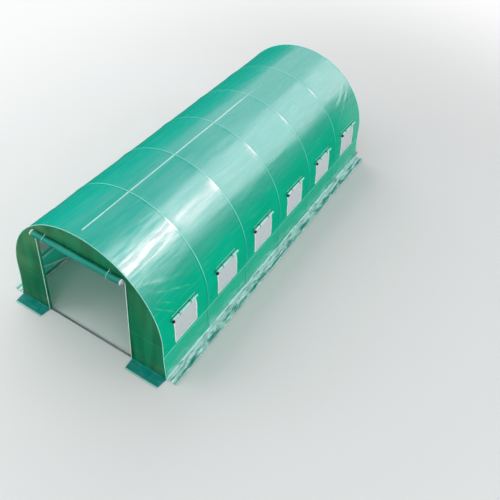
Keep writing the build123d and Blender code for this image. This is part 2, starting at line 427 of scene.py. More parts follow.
# %% Helpers for node groups
def new_group(name, inputs, work_out):
    """A node group. An input has a plain value, or None for a place."""
    group = bpy.data.node_groups.new(name, "ShaderNodeTree")
    for socket_name, value in inputs.items():
        kind = "NodeSocketVector" if value is None else "NodeSocketFloat"
        socket = group.interface.new_socket(socket_name, in_out="INPUT", socket_type=kind)
        if value is not None:
            socket.default_value = value
    given = node_of(group, "NodeGroupInput").outputs
    outputs = work_out(*[Signal(group, given[socket_name]) for socket_name in inputs])
    for socket_name in outputs:
        group.interface.new_socket(socket_name, in_out="OUTPUT", socket_type="NodeSocketFloat")
    node_of(group, "NodeGroupOutput", outputs)
    return group


def use_group(tree, group, **values):
    node = node_of(tree, "ShaderNodeGroup", values, node_tree=group)
    return [Signal(tree, output) for output in node.outputs]


print("groups so far", len(bpy.data.node_groups))

# %% [markdown]
# The shared effects are the woven threads inside reinforced film, its soft creases, and
# dust that lies thickest near the ground.

# %% Threads, creases and dust
thread_half = 0.16


def thread_lines(place, pitch):
    """A square grid of lines, one pitch apart."""
    across, along, _ = place.split()
    lines = [direction.maths("DIVIDE", pitch).maths("PINGPONG", 0.5).fall(0.0, thread_half)
             for direction in (across, along)]
    return {"Threads": lines[0].maths("MAXIMUM", lines[1])}


def crease_shapes(place):
    """Long soft streaks, and a height of streaks, cross folds and small creases."""
    streaks = place.cloud(1.0, 1.5, 0.35, stretch=(0.8, 7.5, 1.0))
    cross_folds = place.cloud(1.0, 3.0, 0.55, stretch=(5.0, 3.2, 1.0))
    small_creases = place.cloud(34.0, 2.0, 0.5)
    return {"Streaks": streaks, "Height": cross_folds + streaks + small_creases * 0.24}


def ground_dust(amount, reach):
    """Patchy speckled dust that fades out at a reach above the ground."""
    place = texture_place(amount.tree, "Object")
    near_ground = place.split()[2].fall(0.0, reach)
    patches = place.cloud(9.0, 5.0, 0.6).ramp(0.35, 0.7)
    speckle = place.cloud(60.0, 2.0, 0.5).ramp(0.4, 0.75, 0.4, 1.0)
    return {"Dust": near_ground * patches * speckle * amount}


film_pitch = 0.012
scrim_group = new_group("film threads", {"Vector": None, "Pitch": film_pitch}, thread_lines)
crease_group = new_group("film creases", {"Vector": None}, crease_shapes)
dust_group = new_group("ground dust", {"Amount": 0.5, "Reach": 0.25}, ground_dust)


def dust(tree, amount, reach):
    return use_group(tree, dust_group, Amount=amount, Reach=reach)[0]


print("groups", [g.name for g in bpy.data.node_groups])

# %% [markdown]
# Reinforced film is a green skin with a grid of threads inside. It is a little glossy
# and lets some light through. Real film could be a glass with a tint, but that takes
# long to render and shows little, so it is glossy plastic with a share of translucent
# skin. One function makes all the film finishes, and each piece passes its own greens.

# %% Skin of the film
thread_tint = (0.02, 0.85, 0.66)
thread_share = 0.07
clear_tint = (0.03, 0.7, 0.4)
streak_dulling = 0.14
film_soil = (0.32, 0.27, 0.2)


def start_film(name):
    """A new film material, with the places and masks that every film finish needs."""
    material, tree = plain_material(name)
    flat = texture_place(tree, "UV")
    streaks, height = use_group(tree, crease_group, Vector=flat)
    threads = use_group(tree, scrim_group, Vector=flat)[0]
    return SimpleNamespace(material=material, tree=tree, flat=flat, streaks=streaks,
                           height=height, threads=threads, place=texture_place(tree, "Object"))


def finish_film(film, colour, bump=0.0022, roughness=0.28, gloss=1.6, shiny=1.0, through=0.1,
                clear=0.0, folds=0.0):
    """Glossy plastic that lets some light through, and a little of it clear."""
    tree = film.tree
    colour = (film.threads * thread_share).mix(colour, thread_tint)
    dull = film.streaks * streak_dulling + (roughness - streak_dulling / 2)
    bumped = node_of(tree, "ShaderNodeBump", {"Distance": bump, "Height": film.height + folds})
    skin = node_of(tree, "ShaderNodeBsdfPrincipled", {
        "Base Color": colour, "Roughness": dull, "IOR": gloss, "Specular IOR Level": shiny,
        "Normal": bumped})
    behind = node_of(tree, "ShaderNodeBsdfTranslucent", {"Color": colour})
    skin = mix_shaders(tree, through, skin, behind)
    if clear:
        see_through = node_of(tree, "ShaderNodeBsdfTransparent", {"Color": clear_tint})
        skin = mix_shaders(tree, clear, skin, see_through)
    node_of(tree, "ShaderNodeOutputMaterial", {"Surface": skin})
    return film.material


print("film threads", film_pitch, "m apart")

# %% [markdown]
# The tubes under the film show as lines in it: a pale line of painted highlight where the
# film is pulled tight over a hoop or rail, and a darker one of painted shade beside it.
# They could be real ridges, but the film is so thin that only the light on it changes, so
# they are painted through masks of the place.

# %% Lines of the tubes in the film
def behind_hoop(y):
    """How far a place is behind the nearest hoop. It is negative in front of the hoop."""
    moved = y + (half_length + bay / 2)
    return moved.maths("WRAP", bay, 0.0) - bay / 2


glint_height = leg + 1.09


def hoop_lines(x, y, z):
    """The painted highlight line and the painted shade line at each hoop inside the tunnel, and the
    painted glint on it.
    """
    behind = behind_hoop(y)
    inside = y.maths("ABSOLUTE").fall(half_length - 0.3, half_length - 0.2)
    strength = z.ramp(leg + 0.15, leg + 0.7) * 0.68 + 0.2
    pale = behind.band(0.0, 0.004, 0.006) * inside * strength
    dark = behind.band(-0.016, 0.006, 0.012) * inside * 0.4
    glint = behind.band(-0.006, 0.006, 0.016) * inside * z.band(glint_height, 0.02, 0.07)
    return pale, dark, glint * x.ramp(0.4, 0.6)


def ridge_line(place, x, y, z):
    """The pale line over the ridge rail, a painted highlight. It breaks at each hoop and fades far
    back.
    """
    run = y.ramp(hoop_y[0] + 0.09, hoop_y[0] + 0.12)
    fade = y.fall(hoop_y[0] + 3.5, hoop_y[-2] - 0.6)
    whole = 1.0 - behind_hoop(y).band(0.01, 0.012, 0.012) * 0.8
    top = z.ramp(roof_top - 0.08, roof_top - 0.04)
    # The painted highlight is weaker in patches.
    worn = place.cloud(5.0, 2.0, 0.5).ramp(0.3, 0.5, 0.75, 1.0)
    return x.band(0.0, 0.007, 0.005) * run * fade * whole * top * worn


print("lines at", len(hoop_y) - 2, "hoops inside the tunnel")

# %% [markdown]
# Near each corner the film is pulled into long raised folds that run back from the
# arch. Their shape is modelled in the sheet, and a highlight is painted on their crests.
# Both use the same few lines, so that colour and shape agree.

# %% Crests of the pulled folds
# Each fold: its start from the end and up the film, its run and drop, and its height.
pulls = [(0.16, 1.45, 0.63, -0.34, 0.011), (0.13, 1.34, 0.26, -0.22, 0.009),
         (0.06, 1.29, 0.27, -0.28, 0.009), (0.24, 1.50, 0.52, -0.15, 0.008),
         (0.10, 1.62, 0.42, -0.20, 0.005)]
pull_width = 0.016
highest_pull = pulls[0][4]
other_share = 0.8
other_start = 0.03
other_rise = 0.07


def crest_highlights(flat):
    """1 on the crests of the folds, where a highlight is painted. Two opposite corners have them a
    little changed.
    """
    along, across, _ = flat.split()
    end_gap = half_length - along.maths("ABSOLUTE")
    s_half = across.maths("MINIMUM", 2 * arch_length - across)
    front = along.maths("LESS_THAN", 0.0)
    right = across.maths("LESS_THAN", arch_length)
    other = (front - right).maths("ABSOLUTE")
    wander = flat.cloud(5.0, 2.0, 0.5) * 0.03
    # How strong the painted crest highlight is, in patches.
    worn = flat.cloud(9.0, 2.0, 0.5).ramp(0.35, 0.6, 0.3, 1.0)
    crests = 0.0
    for from_end, start, run, drop, height in pulls:
        first = other * (other_start - (1 - other_share) * from_end) + from_end
        t = (end_gap - first).maths("DIVIDE", run)
        line = t * drop + (other * other_rise + start)
        away = wander + s_half - line
        crest = away.band(0.018, 0.001, 1.4 * pull_width) * worn * (height / highest_pull)
        crest = crest * t.ramp(-0.1, 0.15) * t.ramp(1.1, 0.5)
        crests = crest.maths("MAXIMUM", crests)
    return crests


print("folds at each corner", len(pulls))

# %% [markdown]
# The cover's green is deep on the sides and bluer on the roof. Over it are painted a pale
# sky sheen on the roof, pale glints at its foot, light through the back wall in the last
# bay, and highlights and shade along the tubes and folds. One colour would look like
# paint, so thin tints are laid over the green, each through its own mask.

# %% Finish of the cover film
cover_tints = {
    "roof": (0.0, 0.53, 0.43), "sky sheen": (0.30, 0.68, 0.60), "past ridge": (0.0, 0.46, 0.33),
    "foot": (0.32, 0.82, 0.69), "last bay": (0.17, 0.60, 0.45), "pale wrinkles": (0.16, 0.66, 0.52),
    "mottle": (0.0, 0.40, 0.26), "crest": (0.30, 0.80, 0.64), "shade line": (0.0, 0.20, 0.12),
    "pale line": (0.24, 0.96, 0.80), "glint": (0.80, 1.0, 0.96), "ridge": (0.70, 1.0, 0.96),
    "rail": (0.30, 0.82, 0.66), "soil": film_soil,
}


def cover_masks(film, wrinkles):
    """Where each tint of the cover lies, in the order that they are laid."""
    place, flat = film.place, film.flat
    x, y, z = place.split()
    on_roof = z.ramp(leg + 0.4, roof_top - 0.1, 0.0, 0.85)
    on_left = x.ramp(0.2, -0.6, 0.0, 0.9) * z.ramp(leg + 0.6, leg + 1.0)
    streaked = film.streaks.ramp(0.3, 0.75) * 0.10 + 0.05
    pale_glints = flat.cloud(3.2, 3.0, 0.55, stretch=(1, 2, 1)).ramp(0.45, 0.7)
    below_rail = z.fall(rail_height - 0.01, rail_height)
    last_bay = y.ramp(hoop_y[-2] - 0.1, hoop_y[-1], 0.0, 0.6)
    pale, dark, glint = hoop_lines(x, y, z)
    return {
        "roof": on_roof.maths("MAXIMUM", on_left),
        # A pale sky sheen painted on the roof, in streaks.
        "sky sheen": on_roof * x.ramp(-0.5, 0.1, 0.15, 1.0) * streaked,
        "past ridge": x.ramp(-0.2, -0.55, 0.0, 0.8),
        # Painted pale glints near the ground, over a paler band below the rail.
        "foot": below_rail * (z.fall(0.0, 0.28) * (pale_glints * 0.75) + 0.1),
        # Painted light: the last bay is paler, as light comes through the back wall.
        "last bay": last_bay * x.ramp(0.2, 1.0),
        # Paler along the wrinkles above the legs.
        "pale wrinkles": wrinkles.ramp(0.5, 0.72, 0.0, 0.22) * z.ramp(leg + 0.25, leg + 0.6),
        "mottle": flat.cloud(55.0, 2.0, 0.6).ramp(0.35, 0.65, 0.0, 0.16),
        # A painted highlight on the crests of the pulled folds.
        "crest": crest_highlights(flat) * 0.34,
        # Painted shade beside each hoop, a painted highlight on it and a painted glint at the
        # shoulder.
        "shade line": dark,
        "pale line": pale,
        "glint": glint,
        # A painted highlight over the ridge rail.
        "ridge": ridge_line(place, x, y, z),
        # A painted highlight along the side rail.
        "rail": z.band(rail_height, 0.005, 0.006) * 0.7,
        "soil": dust(film.tree, 0.12, 0.25),
    }


print("tints on the cover", len(cover_tints))

# %% [markdown]
# The cover's gloss is worked out apart from its colour. It is low on the sides, which
# mirror dark ground, and high on the roof, and wrinkles and fine grain break it up.

# %% Gloss of the cover film
def cover_shine(film, wrinkles, first_bay, pale_line):
    """The level of the gloss: low on the sides, dulled by wrinkles, grain and lines."""
    x, _, z = film.place.split()
    top = z.ramp(leg + 0.55, leg + 0.85, 0.03, 1.0) * x.ramp(-0.45, -0.1, 0.15, 1.0)
    foot = z.ramp(0.12, 0.24, 0.4, 0.0)
    dulled = wrinkles.ramp(0.56, 0.40) * first_bay * 0.42
    grain = film.flat.cloud(70.0, 1.0, 0.5).ramp(0.35, 0.65, 0.0, 0.22)
    return top.maths("MAXIMUM", foot) * (1.0 - (dulled + grain)) * (1.0 - pale_line * 0.8)


def cover_finish():
    film = start_film("cover film")
    x, y, z = film.place.split()
    wrinkles = film.flat.cloud(1.0, 3.5, 0.58, stretch=(1.9, 16.0, 1.0))
    masks = cover_masks(film, wrinkles)
    green = film.flat.cloud(1.6, 3.0, 0.5).ramp(0.3, 0.72).mix((0.0, 0.44, 0.245), (0.0, 0.49, 0.28))
    colour = tinted(green, *[(mask, cover_tints[name]) for name, mask in masks.items()])
    first_bay = y.ramp(hoop_y[1] - 0.25, hoop_y[1] + 0.25, 1.0, 0.25)
    shoulder = z.band(leg + 0.98, 0.12, 0.22) * x.ramp(0.0, 0.3)
    shine = cover_shine(film, wrinkles, first_bay, masks["pale line"])
    return finish_film(film, colour, shiny=shine, folds=wrinkles * first_bay * shoulder * 1.6)


cover_material = cover_finish()
print("nodes in the cover film", len(cover_material.node_tree.nodes))

# %% [markdown]
# The end walls' green is darker than the cover's, painted shade of the arch that they
# hang upright in, and they carry painted olive patches of the ground seen in the film.
# The doors are the same film, and the rolled door is painted deeper, as shade in its many
# layers. The flaps' rolls are a pale mint.

# %% Finish of the end walls, doors and flaps
def end_finish():
    film = start_film("end film")
    x, _, z = film.place.split()
    rise = (z - leg).maths("MAXIMUM", 0.0)
    outward = (x * x + rise * rise).maths("SQRT")
    # Painted olive light of the ground seen in the film: near the arch, high up, in patches, more on
    # the left.
    near_arch = outward.ramp(half_width - 0.55, half_width - 0.1)
    upper = z.ramp(0.35, 1.0, 0.35, 1.0)
    patch = film.place.cloud(1.7, 2.0, 0.5).ramp(0.35, 0.6, 0.35, 1.0)
    sunny = x.ramp(-0.9, 0.4, 0.75, 0.2)
    seam = z.band(rail_height + 0.2, 0.004, 0.006) * 0.25
    # Painted shade: the walls' green is darker than the cover's.
    green = film.streaks.ramp(0.38, 0.66).mix((0.0, 0.185, 0.075), (0.001, 0.285, 0.125))
    colour = tinted(green, (near_arch * upper * patch * sunny, (0.17, 0.42, 0.19)),
                    (seam, (0.2, 0.42, 0.28)), (dust(film.tree, 0.5, 0.4), film_soil))
    return finish_film(film, colour, bump=0.0035, roughness=0.4, gloss=1.4, shiny=0.3,
                       through=0.3, clear=0.07)


def door_finish():
    """The rolled door. The last centimetres of each end are its pale core and hem."""
    film = start_film("door film")
    from_end = door_half - film.place.split()[0].maths("ABSOLUTE")
    pale_end = from_end.fall(0.014, 0.024)
    # Painted shade: the rolled door is a deep teal.
    green = film.streaks.ramp(0.35, 0.7).mix((0.0, 0.17, 0.125), (0.002, 0.35, 0.26))
    return finish_film(film, tinted(green, (pale_end, (0.82, 0.86, 0.88))), bump=0.004,
                       roughness=0.42, gloss=1.4, through=0.03)


def flap_finish():
    film = start_film("flap film")
    colour = film.streaks.ramp(0.35, 0.6).mix((0.36, 0.94, 0.80), (0.66, 1.0, 0.94))
    return finish_film(film, colour, bump=0.003, roughness=0.4, gloss=1.5, shiny=0.08,
                       through=0.03)


end_material = end_finish()
door_material = door_finish()
flap_material = flap_finish()
print("film materials", sum("film" in m.name for m in bpy.data.materials))

# %% [markdown]
# The skirts lie creased on the ground, so pale patches of painted highlight, deep ones of
# painted shade, a painted white highlight along a crest near the foot and a pale rim cover
# their green. The ones beside the doors are flatter and plain.

# %% Finish of the skirts
skirt_rim = 0.215


def skirt_finish(name, deep, pale, low, high, crest_highlight_share):
    """Film on the ground. Its pale patches of painted highlight start and fill between a low and a
    high level.
    """
    film = start_film(name)
    flat = film.flat
    across = flat.split()[1]
    patches = flat.cloud(1.0, 6.0, 0.7, stretch=(3.6, 24.0, 1.0))
    # Where the painted highlights fall, a little more of them near the wall.
    worn = patches + across.ramp(0.09, 0.19, 0.05, -0.04)
    wander = flat.cloud(3.0, 2.0, 0.5) * 0.08 + across
    rim = across.ramp(skirt_rim - 0.02, skirt_rim - 0.008)
    # A painted white highlight runs along a crest, and a pale rim along the edge.
    colour = tinted(worn.ramp(low, high).mix(deep, pale),
                    (wander.band(0.125, 0.003, 0.007) * crest_highlight_share, (0.86, 0.98, 0.95)),
                    (rim * 0.8, (0.6, 0.86, 0.79)),
                    (dust(film.tree, 0.18, 0.25), (0.36, 0.31, 0.24)))
    return finish_film(film, colour, bump=0.0035, roughness=0.3, gloss=1.5, shiny=0.25,
                       through=0.08)


skirt_material = skirt_finish("skirt film", deep=(0.002, 0.30, 0.25), pale=(0.66, 0.98, 0.92),
                              low=0.42, high=0.56, crest_highlight_share=0.9)
front_skirt_material = skirt_finish("end skirt film", deep=(0.0, 0.24, 0.20),
                                    pale=(0.004, 0.36, 0.29), low=0.4, high=0.75,
                                    crest_highlight_share=0.0)
print("film materials", sum("film" in m.name for m in bpy.data.materials))

# %% [markdown]
# The tubes are galvanised steel: a grey metal with faint crystal patches and dull
# streaks. The nets are a fine pale weave, and the toggles are black plastic. One
# function makes the shader, and each finish only works out its colour, its roughness if
# that changes, and its height.

# %% Finishes of the tubes, nets and trims
def surface_material(name, finish, roughness, metallic=0.0, bump=0.001, shiny=0.5, **tints):
    """A finish whose function gives its colour, its own roughness or None, and its height."""
    material, tree = plain_material(name)
    colour, rough, height = finish(texture_place(tree, "Object"), **tints)
    bumped = node_of(tree, "ShaderNodeBump", {"Distance": bump, "Height": height})
    shader = node_of(tree, "ShaderNodeBsdfPrincipled", {
        "Base Color": colour, "Roughness": rough or roughness, "Metallic": metallic,
        "Specular IOR Level": shiny, "Normal": bumped})
    node_of(tree, "ShaderNodeOutputMaterial", {"Surface": shader})
    return material


def galvanised(place, clean=(0.84, 0.86, 0.87), bright=(0.93, 0.94, 0.95),
               dull_grey=(0.62, 0.64, 0.65)):
    crystals = node_of(place.tree, "ShaderNodeTexVoronoi", {"Vector": place, "Scale": 70.0})
    patch = Signal(place.tree, crystals.outputs["Color"]).split()[0]
    dull = place.cloud(12.0, 4.0, 0.6)
    colour = tinted(patch.mix(clean, bright), (dull.ramp(0.5, 0.8), dull_grey),
                    (dust(place.tree, 0.7, 0.12), (0.3, 0.25, 0.19)))
    return colour, dull * 0.3 + 0.28, patch


def netting(place):
    """A fine net of pale threads, drawn on the place along the tunnel and up."""
    _, y, z = place.split()
    upright = Signal(place.tree, node_of(place.tree, "ShaderNodeCombineXYZ", {0: y, 1: z}).outputs[0])
    threads = use_group(place.tree, scrim_group, Vector=upright, Pitch=0.006)[0]
    soft = place.cloud(14.0, 4.0, 0.6)
    colour = tinted(soft.mix((0.46, 0.52, 0.53), (0.56, 0.63, 0.64)),
                    (threads * 0.5, (0.66, 0.70, 0.72)))
    return colour, None, threads


def woven(place, clean, worn):
    threads = use_group(place.tree, scrim_group, Vector=place, Pitch=0.004)[0]
    soil = place.cloud(11.0, 4.0, 0.6).ramp(0.4, 0.8)
    colour = tinted(soil.mix(clean, worn), (dust(place.tree, 0.6, 0.3), (0.36, 0.31, 0.24)))
    return colour, None, threads


def black_plastic(place):
    grain = place.cloud(300.0, 2.0, 0.5)
    return grain.mix((0.002, 0.0025, 0.003), (0.006, 0.007, 0.008)), None, grain


print("finishes", [f.__name__ for f in (galvanised, netting, woven, black_plastic)])

# %% [markdown]
# The same finish serves several materials with other colours: the sill tube is painted
# darker, a painted reflection of dark ground, and the borders, weld lines, welts and zips
# are one weave in white and three greens.

# %% Materials of the tubes, nets and trims
tube_material = surface_material("galvanised tube", galvanised, 0.4, metallic=0.15, bump=0.0002)
# The sill's dark blue-grey is a painted reflection of dark ground.
sill_material = surface_material("sill tube painted dark", galvanised, 0.45, metallic=0.2, bump=0.0002,
                                 clean=(0.13, 0.18, 0.21), bright=(0.22, 0.28, 0.32),
                                 dull_grey=(0.09, 0.12, 0.14))
net_material = surface_material("window net", netting, 0.85, bump=0.0006)
trim_material = surface_material("white trim", woven, 0.6, bump=0.0006, shiny=0.15,
                                 clean=(0.88, 0.93, 0.92), worn=(0.72, 0.80, 0.77))
weld_material = surface_material("mint weld", woven, 0.5, bump=0.0004, shiny=0.1,
                                 clean=(0.32, 1.0, 0.82), worn=(0.26, 0.90, 0.72))
welt_material = surface_material("mint welt", woven, 0.45, bump=0.0004, shiny=0.15,
                                 clean=(0.38, 0.84, 0.76), worn=(0.24, 0.68, 0.60))
zip_material = surface_material("zip tape", woven, 0.6, bump=0.0004, shiny=0.15,
                                clean=(0.70, 0.90, 0.85), worn=(0.52, 0.78, 0.72))
toggle_material = surface_material("black toggle", black_plastic, 0.45, bump=0.0002, shiny=0.2)
print("materials", len(bpy.data.materials))

# %% [markdown]
# The film follows one outline from the ground on the right, up the leg, over the half
# circle and down to the ground on the left. This function gives the point and the
# outward direction at any length along that outline, which every film piece then uses.

# %% The outline of the cover
def on_outline(s):
    """(x, z, outward x, outward z) at a length along the outline from the right ground edge."""
    mirrored = s > arch_length
    if mirrored:
        s = 2 * arch_length - s
    if s < leg:
        x, z, out_x, out_z = half_width, s, 1.0, 0.0
    else:
        angle = (s - leg) / half_width
        out_x, out_z = math.cos(angle), math.sin(angle)
        x, z = half_width * out_x, leg + half_width * out_z
    return (-x, z, -out_x, out_z) if mirrored else (x, z, out_x, out_z)


def length_at_height(z):
    """The length along the outline at a height on the right-hand side."""
    return z if z < leg else leg + half_width * math.asin((z - leg) / half_width)


def eased(value, low, high):
    t = min(max((value - low) / (high - low), 0.0), 1.0)
    return t * t * (3 - 2 * t)


screen_low, screen_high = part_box("right_window_screens")
screen_border = 0.022
window_half = (screen_high[1] - screen_low[1] - (len(hoop_y) - 2) * bay) / 2 - screen_border
window_bottom = screen_low[2] + screen_border
window_top = length_at_height(screen_high[2] - screen_border)
window_height = window_top - window_bottom
side_windows = len(hoop_y) - 1
rail_s = length_at_height(rail_height)
print("windows", round(2 * window_half, 3), "by", round(window_height, 3))

# %% [markdown]
# The film isn't a smooth arch. It hangs a little between the hoops, is creased and
# pulled near the corners, and its foot stands out over the buried hem. A cloth
# simulation could give this, but noise of a few sizes is quick and the same each time.

# %% Slack and folds of the cover
foot_flare = 0.038
hoop_grip = 0.075
sag = 0.0095
swell_height = 0.006
strip_height = 0.0036
fine_height = 0.0011
ripple_height = 0.009


def bumps(height, *place):
    """A smooth random height, the same for the same place each time."""
    return noise.noise(Vector(place)) * height


def flare(s):
    """How far the foot of the film stands out, at a length up from the ground."""
    return foot_flare * max(1 - s / (rail_s + 0.02), 0.0) ** 1.15


def pull_folds(y, s_half, other_corner):
    """The raised folds that run back and down from the arch near each corner."""
    end_gap = half_length - abs(y)
    total = 0.0
    for from_end, start, run, drop, height in pulls:
        if other_corner:
            from_end, start = from_end * other_share + other_start, start + other_rise
        t = (end_gap - from_end) / run
        if -0.15 < t < 1.15:
            off = (s_half - (start + drop * t)) / pull_width
            fade = eased(t, -0.15, 0.1) * eased(t, 1.15, 0.6)
            total += height * fade * math.exp(-off * off)
    return total


def film_sag(y, s):
    """How far the film stands out from the outline: down between hoops, and creased."""
    s_half = min(s, 2 * arch_length - s)
    right = s < arch_length
    to_hoop = min(abs(y - place) for place in hoop_y)
    loose = 1 - math.exp(-to_hoop / hoop_grip)
    off_ridge = eased(arch_length - s_half, 0.0, 0.4)
    off_rail = eased(abs(s_half - rail_s), 0.0, 0.25)
    drop = -sag * loose * (0.25 + 0.75 * off_ridge) * (0.3 + 0.7 * off_rail)
    swell = bumps(swell_height, y * 0.8, s * 1.7, 3.1) * loose * off_rail
    strip = bumps(strip_height, y * 1.1, s * 8.0, 7.7) * loose
    strip += bumps(fine_height, y * 1.6, s * 19.0, 2.2) * loose
    low_part = eased(s_half, rail_s, rail_s - 0.1) * eased(s_half, 0.0, 0.06)
    ripple = bumps(ripple_height, y * 4.5, s * 3.0, 12.0) * low_part * (0.3 + 0.7 * loose)
    folds = pull_folds(y, s_half, (y < 0) != right)
    return drop + swell + strip + ripple + folds + flare(s_half)


print("deepest sag", sag)

# %% [markdown]
# Every film piece starts as a flat grid, like the real sheet before it is put up. Its
# rows and columns are spaced one by one, so that they fall on the edges that matter, and
# the flat places are kept as UV, so that the threads follow the sheet.

# %% Helpers for sheets
def spaced(stops, counts):
    """Places along a line: each stretch between two stops divided into equal steps."""
    places = [stops[0]]
    for low, high, count in zip(stops, stops[1:], counts):
        places += [low + (high - low) * (i + 1) / count for i in range(count)]
    return places


def mapped_grid(column_places, row_places):
    """A grid whose points carry their place along and across as plain X and Y."""
    bm = bmesh.new()
    nx, ny = len(column_places) - 1, len(row_places) - 1
    bmesh.ops.create_grid(bm, x_segments=nx, y_segments=ny, size=0.5)
    for vert in bm.verts:
        i = round((vert.co.x + 0.5) * nx)
        j = round((vert.co.y + 0.5) * ny)
        vert.co = (column_places[i], row_places[j], 0.0)
    uv = bm.loops.layers.uv.new("flat")
    for face in bm.faces:
        for loop in face.loops:
            loop[uv].uv = loop.vert.co.xy
    return bm


print("grids come from", mapped_grid.__name__)

# %% [markdown]
# The cover is one sheet, and its rows and columns fall on the window edges. Each point
# is moved on to the outline and sagged. The faces inside the windows are taken out, as
# the real holes are cut out.

# %% Cover film
def in_window(y, s):
    s = min(s, 2 * arch_length - s)
    from_middle = abs((y + half_length) % bay - bay / 2)
    return window_bottom < s < window_top and from_middle < window_half


column_stops = [-film_end]
for place in hoop_y[:-1]:
    middle_y = place + bay / 2
    column_stops += [place, middle_y - window_half, middle_y + window_half]
column_stops += [hoop_y[-1], film_end]
column_counts = [1] + [14, 23, 14] * (len(hoop_y) - 1) + [1]
columns = spaced(column_stops, column_counts)
row_stops = [0.0, rail_s, window_bottom, window_top, arch_length]
row_counts = [18, 3, 18, 66]
half_rows = spaced(row_stops, row_counts)
rows = half_rows + [2 * arch_length - s for s in reversed(half_rows[:-1])]

bm = mapped_grid(columns, rows)
holes = [f for f in bm.faces if in_window(*f.calc_center_median().xy)]
bmesh.ops.delete(bm, geom=holes, context="FACES")
for vert in bm.verts:
    y, s = vert.co.xy
    x, z, out_x, out_z = on_outline(s)
    off = film_sag(y, s)
    vert.co = (x + out_x * off, y, max(z + out_z * off, 0.0))
roof_nodes = [f"cover_roof_{i}" for i in range(1, 7)]
cover = finish_piece("cover_film", bm, cover_material,
                     ["cover_right_side", "cover_left_side"] + roof_nodes)
cover_cut = (2 * arch_length, 2 * film_end)
window_area = 4 * side_windows * window_half * window_height
cover_cut[0] * cover_cut[1] - window_area

# %% [markdown]
# Each end wall is a half-round sheet. A grid is fitted to it so that its outer columns
# follow the arch, and the cells of the doorway are taken out at the front. There the
# loose edge leans a little at its foot and is turned in round the post.

# %% Shape of the end walls
wall_edge = half_width - 0.004
wall_gap = 0.0015
outer_columns = 16
door_columns = 60
door_rows = 56
head_rows = 16
open_edge_lean = 0.024
turned_in = 0.034
slack_height = 0.010
fold_height = 0.005
edge_angle = math.acos(door_half / wall_edge)
outer_places = [wall_edge * math.cos(edge_angle * i / outer_columns) for i in range(outer_columns + 1)]
wall_columns = [-x for x in outer_places]
wall_columns += [-door_half + 2 * door_half * (i + 1) / door_columns for i in range(door_columns)]
wall_columns += reversed(outer_places[:-1])


def arch_height(x):
    return leg + math.sqrt(max(wall_edge ** 2 - x * x, 0.0))


def wall_bulge(x, z):
    """Small slack and pulls in an end wall, out from its plane."""
    edge = eased(min(arch_height(x) - z, wall_edge - abs(x)), 0.0, 0.25)
    slack = bumps(slack_height, x * 1.6, z * 1.1, 5.0)
    folds = bumps(fold_height, x * 9.0, z * 0.9, 9.0)
    return (slack + folds) * edge


print("wall columns", len(wall_columns))

# %% [markdown]
# One of the sheet's rows falls on the top of the doorway, so that a door can be taken
# out of it whole. Beside the doorway the rows come down with the arch.

# %% Sheet of an end wall
def wall_sheet(end, keep):
    """A bmesh of an end wall. Keep says which cells stay, from their column and row."""
    bm = mapped_grid(range(len(wall_columns)), range(door_rows + head_rows + 1))
    gone = [f for f in bm.faces if not keep(f.calc_center_median().x, f.calc_center_median().y)]
    bmesh.ops.delete(bm, geom=gone, context="FACES")
    uv = bm.loops.layers.uv["flat"]
    door_low_share = door_top / arch_height(door_half)
    for vert in bm.verts:
        x = wall_columns[round(vert.co.x)]
        row = vert.co.y
        top = arch_height(x)
        break_at = door_top if abs(x) <= door_half + 1e-6 else top * door_low_share
        if row <= door_rows:
            z = break_at * row / door_rows
        else:
            z = break_at + (top - break_at) * (row - door_rows) / head_rows
        y = end * (wall_face - wall_gap + wall_bulge(x, z))
        if end < 0 and abs(x) < door_half - 1e-6 and row < door_rows:
            x = math.copysign(door_half - 0.0005, x)
            y += turned_in
        beside = max((abs(x) - door_half) / (wall_edge - door_half), 0.0)
        wider = math.copysign(beside * flare(z), x)
        lean = open_edge_lean * max(1 - z / door_top, 0.0) * (1 - beside) if end < 0 else 0.0
        vert.co = (x + wider - lean, y, z)
    for face in bm.faces:
        for loop in face.loops:
            loop[uv].uv = (loop.vert.co.z, loop.vert.co.x)
    return bm


def in_doorway(column, row, inset=0):
    """Whether a cell is in the doorway, or at least so many columns inside it."""
    first, last = outer_columns + inset, outer_columns + door_columns - inset
    return first < column < last and row < door_rows


print("wall grid", len(wall_columns), "by", door_rows + head_rows + 1)

# %% [markdown]
# Both walls come from the same sheet, less the doorway. The back door is the middle of
# that sheet, so its folds run on into the wall's, as they do when the zips are closed.

# %% End walls and the closed back door
for end, side in both_ends:
    inset = 1 if end < 0 else 0
    bm = wall_sheet(end, lambda column, row: not in_doorway(column, row, inset))
    nodes = [f"{side}_wall_{part}" for part in ("left", "right", "top")]
    wall = finish_piece(f"{side}_wall_film", bm, end_material, nodes)

bm = wall_sheet(1, in_doorway)
back_door = finish_piece("back_door_film", bm, end_material, ["back_door"])

# %% [markdown]
# The skirts are the foot of the film, laid on the ground and walked on, so they are
# full of small sharp creases. They are thin grids lifted by layered noise, and they
# start a little way up the film, where the real sheet is folded.

# %% Side skirts
hem_rise = 0.04
hem_lift = 0.0022
ground_gap = 0.0006
skirt_thick = 0.0012
side_crumple = 0.022
edge_wander = 0.016
past_edge = 0.012


def crumple(y, t, seed, size):
    """The height of a crumpled sheet above the ground, from 0 at its low points."""
    bend = bumps(0.8, y * 6.0, t * 6.0, seed)
    large, _ = noise.voronoi(Vector((y * 9.0 + bend, t * 13.0 - bend, seed)))
    small, _ = noise.voronoi(Vector((y * 24.0 - bend, t * 30.0 + bend, seed + 4.0)))
    return size * (0.75 * large[0] + 0.3 * small[0])


